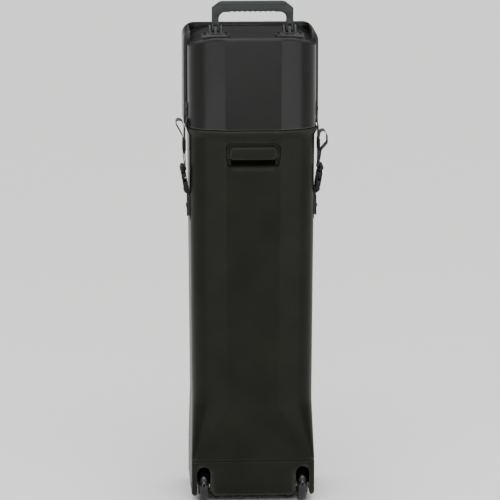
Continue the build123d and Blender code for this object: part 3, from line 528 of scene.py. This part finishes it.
# flat seats for the brackets, then the hollow inside with a flat for each backing plate
bracket_x, bracket_y = middle("right_handle_bracket")[:2]
seat_y = -0.0765
for x in (-bracket_x, bracket_x):
    seat = []
    for z, g in ((1.1065, 0.0), (1.1168, 0.0), (1.11765, -0.0004), (1.11805, -0.0012)):
        outline = rounded(-0.034 - g, 0.034 + g, -0.0225 - g, 0.0225 + g, 0.006)
        seat.append([(x + px, seat_y + py, z) for px, py in outline])
    carve(lid, seat, "UNION")
carve(lid, domed(-0.0019, ceiling_z, 0.890, 0.003))
for x in (-bracket_x, bracket_x):
    outline = rounded(-0.031, 0.031, -0.0212, 0.0212, 0.004)
    carve(lid, [[(x + px, bracket_y + py, z) for px, py in outline]
                for z in (1.096, ceiling_z + 0.00005)])
carve(lid, [slab(y, 0.0, 0.9155, 0.1543, 1.091, 0.012) for y in (-0.011, 0.05, 0.123)])
carve(lid, [upright(rounded(-0.062 - g, 0.062 + g, 0.985 - g, 1.050 + g, 0.006 + g), y) for y, g in (
    (0.1265, -0.0030), (0.1265, -0.0019), (0.1265, -0.0008), (0.1269, 0.0), (0.1276, 0.0004),
    (0.1286, 0.0014), (0.14, 0.0014))])
coat(lid, lid_black_toned_for_light, 28)
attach(lid, "lid")
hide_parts("lid_shell")

# ---- carry handle ----------------------------------------------------------------------------
# One bow of glass-filled nylon, grey black, with chamfered shoulders, finger scallops under the
# grip and forked feet that straddle the bracket's middle lug.
handle_grey = grained("moulded_nylon", (0.0135, 0.0170, 0.0160), 0.16, 0.42, 0.0009, 0.00007,
                      edge_wear_and_highlight=(0.045, 0.05, 0.048), edge_wear_and_highlight_share=0.35)


def dress(node, material, width):
    """Gives a hard part its finish, with welded seams and edges broken by width."""
    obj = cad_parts[node]
    obj.data.materials.clear()
    obj.data.materials.append(material)
    for p in obj.data.polygons:
        p.use_smooth = True
        p.material_index = 0
    weld = obj.modifiers.new("weld", "WELD")
    weld.merge_threshold = 0.00001
    if width:
        edge = obj.modifiers.new("edge", "BEVEL")
        edge.width, edge.segments, edge.limit_method = width, 2, "ANGLE"
        edge.angle_limit = math.radians(28)
        edge.harden_normals = True
        edge.use_clamp_overlap = True


dress("handle", handle_grey, 0.0008)

# ---- handle brackets -------------------------------------------------------------------------
# Cast and powder-coated plates, each with two ears and a middle lug, riveted through the deck on to
# a zinc-plated steel backing plate inside.
bracket_grey = grained("powder_coat", (0.042, 0.043, 0.043), 0.16, 0.42, 0.0008, 0.00005,
                       edge_wear_and_highlight=(0.08, 0.08, 0.079), edge_wear_and_highlight_share=0.3)


def metal(name, colour, rough, stained=0.25):
    """Bare or plated metal: fine brushing along one direction, dull spots, uneven tone."""
    mat, tree, shader, where = begin(name)
    shader.inputs["Metallic"].default_value = 1.0
    brushing = tree.nodes.new("ShaderNodeMapping")
    brushing.inputs["Scale"].default_value = (40.0, 40.0, 900.0)
    tree.links.new(where, brushing.inputs["Vector"])
    spots = noise(tree, where, 160.0, 4.0)
    tone = tinted(tree, spots, 0.35, 0.65, [c * (1 - stained) for c in colour], colour)
    tree.links.new(tone, shader.inputs["Base Color"])
    dulled(tree, shader, spots, rough - 0.08, rough + 0.14)
    bumped(tree, shader, noise(tree, brushing.outputs["Vector"], 3.0, 6.0), 0.6, 0.00003)
    return mat


zinc = metal("zinc_plate", (0.62, 0.63, 0.62), 0.34)
for side in ("left", "right"):
    dress(f"{side}_handle_bracket", bracket_grey, 0.0006)
    dress(f"{side}_backing_plate", zinc, 0.0003)

# ---- handle pins and bracket rivets ----------------------------------------------------------
# Steel pins headed at both ends carry the handle. Pins and rivets are blackened so that they
# don't show against the coated plate.
blackened = metal("blackened_steel", (0.035, 0.035, 0.034), 0.45, stained=0.35)
for side in ("left", "right"):
    dress(f"{side}_handle_pin", blackened, 0.0002)
    dress(f"{side}_bracket_rivets", blackened, 0)

# ---- wheels ----------------------------------------------------------------------------------
# Cast polyurethane skate tyres, glossy and nearly black, bonded round a moulded nylon hub with
# five spokes.
tyre_black = grained("cast_polyurethane", (0.004, 0.004, 0.0042), 0.25, 0.16, 0.0022, 0.00002,
                     gloss=0.45)
hub_black = grained("hub_nylon", (0.007, 0.007, 0.0075), 0.1, 0.4, 0.0008, 0.00004,
                    edge_wear_and_highlight=(0.11, 0.11, 0.11), edge_wear_and_highlight_share=0.4)
for side in ("left", "right"):
    low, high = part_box(f"{side}_wheel_tyre")
    mid, out = (low + high) / 2, (high.z - low.z) / 2
    half = (high.x - low.x) / 2
    section = [(-half + 0.0015, 0.0240), (-half + 0.0004, 0.0252), (-half, 0.0266), (-half, 0.0292),
               (-0.0114, 0.0309), (-0.0103, 0.0327), (-0.0088, 0.0344), (-0.0068, 0.0359),
               (-0.0046, 0.0370), (-0.0022, 0.0377), (0.0, out)]
    section += [(-x, r) for x, r in reversed(section[:-1])]
    verts, faces, steps, n = [], [], 96, len(section)
    for k in range(steps):
        a = 2 * math.pi * k / steps
        verts += [(mid.x + x, mid.y + r * math.cos(a), mid.z + r * math.sin(a)) for x, r in section]
        b = (k + 1) % steps
        faces += [(k * n + i, k * n + (i + 1) % n, b * n + (i + 1) % n, b * n + i) for i in range(n)]
    tyre = show(f"{side}_tyre", verts, faces)
    coat(tyre, tyre_black, 40)
    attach(tyre, f"{side}_wheel")
    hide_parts(f"{side}_wheel_tyre")
    dress(f"{side}_wheel_hub", hub_black, 0.0004)

# ---- bearings, spacers, axle bolts and inserts -----------------------------------------------
# Each wheel has two ground-steel skate bearings with a sleeve between them, on a zinc-plated
# button-head bolt that screws into a brass insert on the wheel's inner side.
ground = metal("ground_steel", (0.72, 0.72, 0.72), 0.16, stained=0.1)
brass = metal("turned_brass", (0.75, 0.56, 0.27), 0.3, stained=0.3)
for side in ("left", "right"):
    for node in ("bearing_outer_rings", "bearing_inner_rings"):
        dress(f"{side}_{node}", ground, 0.0002)
    dress(f"{side}_bearing_balls", ground, 0)
    for node in ("bearing_sleeve", "axle_spacers", "axle_bolt"):
        dress(f"{side}_{node}", zinc, 0.0002)
    dress(f"{side}_axle_insert", brass, 0.0002)

# ---- feet ------------------------------------------------------------------------------------
# Moulded rubber buffers under the front edge, as high as the wheels lift the rear, each held by one
# cross-recess screw set deep in its well.
foot_black = grained("moulded_rubber", (0.006, 0.006, 0.0057), 0.25, 0.68, 0.0012, 0.00006,
                     edge_wear_and_highlight=(0.09, 0.085, 0.08), edge_wear_and_highlight_share=0.6)
for side in ("left", "right"):
    dress(f"{side}_foot", foot_black, 0.0005)
    dress(f"{side}_foot_screw", zinc, 0)

# ---- strap plates and their rivets -----------------------------------------------------------
# Pressed steel plates, blackened, that clamp the webbing's ends against the shell with two domed
# rivets each.
for side in ("left", "right"):
    for place in ("upper", "lower"):
        dress(f"{side}_{place}_strap_plate", blackened, 0.0003)
        dress(f"{side}_{place}_strap_rivets", blackened, 0)


# ---- upper webbing ---------------------------------------------------------------------------
# Black polypropylene webbing, 38 mm wide. Each length runs from the plate on the lid down behind
# the buckle's bars and back up, and its spare end loops round and tucks under an elastic band.
def rounded_line(points, radii):
    """Even line through points in x and z, turned at each inner corner with its own radius."""
    step = 0.0022
    pts = [Vector(p) for p in points]
    out = [pts[0]]
    for a, b, c, r in zip(pts, pts[1:], pts[2:], radii):
        u, v = (a - b).normalized(), (c - b).normalized()
        angle = math.acos(max(-1.0, min(1.0, u.dot(v))))
        t = r / math.tan(angle / 2)
        start, end = b + u * t, b + v * t
        centre = b + (u + v).normalized() * (r / math.sin(angle / 2))
        sweep = math.pi - angle
        turn_way = 1 if u.cross(v) < 0 else -1
        count = max(3, int(r * sweep / step) + 1)
        first = start - centre
        for i in range(count + 1):
            s = turn_way * sweep * i / count
            out.append(centre + Vector((first.x * math.cos(s) - first.y * math.sin(s),
                                        first.x * math.sin(s) + first.y * math.cos(s))))
    out.append(pts[-1])
    even = [out[0]]
    for p in out[1:]:
        gap = (p - even[-1]).length
        if gap < 1e-6:
            continue
        parts = max(1, round(gap / step))
        base = even[-1]
        even += [base + (p - base) * k / parts for k in range(1, parts + 1)]
    return even


webbing_width, webbing_thick = 0.038, 0.0018


def strap(name, line, side):
    """Flat woven strap swept along a line, with full round selvedges and a metre-scaled UV."""
    half, h = webbing_width / 2, webbing_thick / 2
    cross = [(half - h * 0.8, h), (half - h * 0.25, h * 0.75), (half, 0.0), (half - h * 0.25, -h * 0.75),
             (half - h * 0.8, -h)]
    flat = [half - h * 0.8 - 0.0040, half * 0.45, 0.0, -half * 0.45, -(half - h * 0.8 - 0.0040)]
    cross = ([(w, h) for w in reversed(flat)] + cross + [(w, -h) for w in flat]
             + [(-a, b) for a, b in reversed(cross)])
    rings, run, along = [], 0.0, []
    for i, p in enumerate(line):
        d = (line[min(i + 1, len(line) - 1)] - line[max(i - 1, 0)]).normalized()
        run += (p - line[i - 1]).length if i else 0.0
        along.append(run)
        rings.append([(side * (p.x - d.y * b), strap_y + w, p.y + d.x * b) for w, b in cross])
    obj = show(name, *skin(rings))
    clean(obj.data)
    uv = obj.data.uv_layers.new(name="cloth")
    for loop in obj.data.loops:
        k, i = divmod(loop.vertex_index, len(cross))
        uv.data[loop.index].uv = (along[k], cross[i][0])
    smooth(obj.data, 50)
    return obj


def woven(name, colour):
    """Herringbone webbing weave in metres of cloth, with fuzz, and colour that is darker in the weave's
    hollows and lighter on its ribs.
    """
    pitch, chevron, yarn = 0.0017, 0.0063, 0.0012
    mat, tree, shader, where = begin(name)
    cloth = tree.nodes.new("ShaderNodeUVMap")
    cloth.uv_map = "cloth"
    split = tree.nodes.new("ShaderNodeSeparateXYZ")
    tree.links.new(cloth.outputs["UV"], split.inputs["Vector"])

    def calc(kind, a, b=0.0):
        m = tree.nodes.new("ShaderNodeMath")
        m.operation = kind
        for k, v in enumerate((a, b)):
            if isinstance(v, float):
                m.inputs[k].default_value = v
            else:
                tree.links.new(v, m.inputs[k])
        return m.outputs["Value"]

    across = calc("PINGPONG", split.outputs["Y"], chevron)
    rib = calc("SINE", calc("MULTIPLY", calc("ADD", split.outputs["X"], across), 2 * math.pi / pitch))
    cord = calc("SINE", calc("MULTIPLY", split.outputs["Y"], 2 * math.pi / yarn))
    fuzz = noise(tree, where, 1400.0, 3.0)
    relief = calc("ADD", rib, calc("MULTIPLY", cord, 0.6))
    relief = calc("ADD", relief, calc("MULTIPLY", fuzz, 0.8))
    scaled = tree.nodes.new("ShaderNodeMapRange")
    scaled.inputs["From Min"].default_value, scaled.inputs["From Max"].default_value = -1.6, 2.4
    tree.links.new(relief, scaled.inputs["Value"])
    # colour follows the relief: darker in the hollows, lighter on the ribs and the fuzz
    ribs_lighter_than_hollows = tinted(tree, scaled.outputs["Result"], 0.1, 0.95, [c * 0.55 for c in colour],
                   [c * 1.5 for c in colour])
    tree.links.new(ribs_lighter_than_hollows, shader.inputs["Base Color"])
    dulled(tree, shader, fuzz, 0.62, 0.85)
    shader.inputs["Sheen Weight"].default_value = 0.25
    bumped(tree, shader, relief, 0.9, 0.00022)
    return mat


buckle_foot, buckle_tilt = (0.1538, 0.745), math.radians(9.66)


def on_buckle(n, s):
    """Point n across and s along the buckle's tilted centre line, in x and z."""
    return (buckle_foot[0] + s * math.sin(buckle_tilt) + n * math.cos(buckle_tilt),
            buckle_foot[1] + s * math.cos(buckle_tilt) - n * math.sin(buckle_tilt))


web_black = woven("woven_polypropylene", (0.009, 0.009, 0.0092))
lid_side, gap, past_bead = 0.1508, 0.0001, 0.1572
start = lid_side + webbing_thick / 2 + gap
for side, sign in (("left", -1), ("right", 1)):
    path = [(start, 0.956), (start, 0.921), (past_bead, 0.900), (past_bead, 0.826),
            on_buckle(-0.0079, 0.063), on_buckle(-0.0079, 0.0519), on_buckle(0.0058, 0.0519),
            on_buckle(0.0058, 0.0587), on_buckle(-0.0058, 0.0587), on_buckle(-0.0058, 0.066)]
    radii = [0.012, 0.012, 0.030, 0.020, 0.002, 0.002, 0.002, 0.002]
    if sign < 0:
        path += [(0.1614, 0.826), (0.1614, 0.874), (0.1786, 0.906), (0.1776, 0.916), (0.164, 0.915),
                 (0.1593, 0.893), (0.1593, 0.836)]
        radii += [0.006, 0.020, 0.030, 0.005, 0.005, 0.008, 0.010]
    else:
        path += [(0.1624, 0.828), (0.164, 0.842), (0.1786, 0.858), (0.1786, 0.876), (0.172, 0.889),
                 (0.1615, 0.886), (0.1593, 0.872), (0.1593, 0.832)]
        radii += [0.006, 0.012, 0.010, 0.009, 0.008, 0.006, 0.006, 0.010]
    web = strap(f"{side}_upper_strap", rounded_line(path, radii), sign)
    web.data.materials.append(web_black)
    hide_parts(f"{side}_upper_webbing")
    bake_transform(web)

# ---- webbing keepers -------------------------------------------------------------------------
# A sewn band of black elastic round each strap, woven finer than the webbing.
elastic_black = grained("woven_elastic", (0.006, 0.006, 0.0062), 0.2, 0.8, 0.0007, 0.0001)
for side in ("left", "right"):
    dress(f"{side}_webbing_keeper", elastic_black, 0.0003)

# ---- lower webbing ---------------------------------------------------------------------------
# The short lengths that hold the buckles' sockets: the same webbing, doubled round the socket's bar
# and clamped under the plate on the body.
inner, outer = 0.1483, 0.1503
for side, sign in (("left", -1), ("right", 1)):
    path = [(inner, 0.688), (inner, 0.735), on_buckle(-0.0052, 0.003), on_buckle(-0.0066, 0.0077),
            on_buckle(0.0066, 0.0077), on_buckle(0.0052, 0.001), (outer, 0.739), (outer, 0.688)]
    radii = [0.020, 0.008, 0.0022, 0.0022, 0.005, 0.006]
    web = strap(f"{side}_lower_strap", rounded_line(path, radii), sign)
    web.data.materials.append(web_black)
    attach(web, "case_body")
    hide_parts(f"{side}_lower_webbing")

# ---- buckles ---------------------------------------------------------------------------------
# Black acetal side-release buckles, moulded with a fine spark-eroded finish and rounded edges.
acetal = grained("moulded_acetal", (0.0032, 0.0032, 0.0034), 0.2, 0.36, 0.0006, 0.00003,
                 edge_wear_and_highlight=(0.015, 0.015, 0.015), edge_wear_and_highlight_share=0.35)
for side in ("left", "right"):
    dress(f"{side}_buckle_socket", acetal, 0.0004)
    dress(f"{side}_buckle_tongue", acetal, 0.0004)

low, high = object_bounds()
